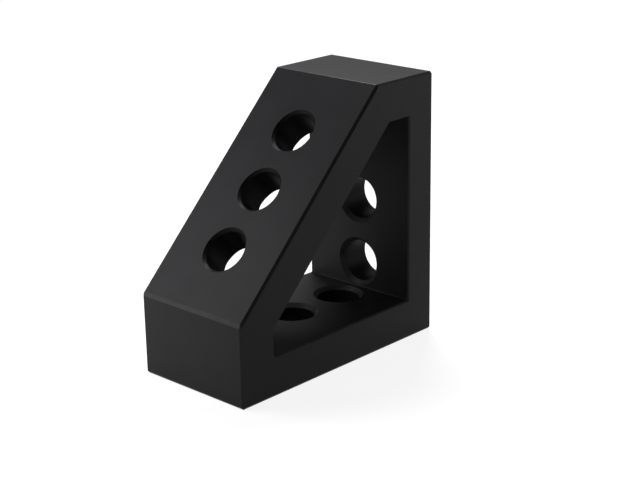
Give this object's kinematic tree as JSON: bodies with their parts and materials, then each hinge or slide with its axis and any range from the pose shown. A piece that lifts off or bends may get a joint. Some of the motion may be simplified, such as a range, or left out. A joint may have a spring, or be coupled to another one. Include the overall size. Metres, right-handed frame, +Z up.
{
  "type": "angled mounting block",
  "caption": "Framed steel block with a drilled 45 degree face, foot and back and an open window through its sides, for holding work at an angle on a fixture table.",
  "frame": {"origin": "middle of the underside of the foot", "axes": "+X from the nose to the back, +Y across the width, +Z up from the foot"},
  "size_m": [0.1, 0.05, 0.1],
  "materials": {
    "blackened_steel": "satin black, oxide blackened"
  },
  "bodies": {
    "root": {"block": "blackened_steel"}
  },
  "joints": []
}
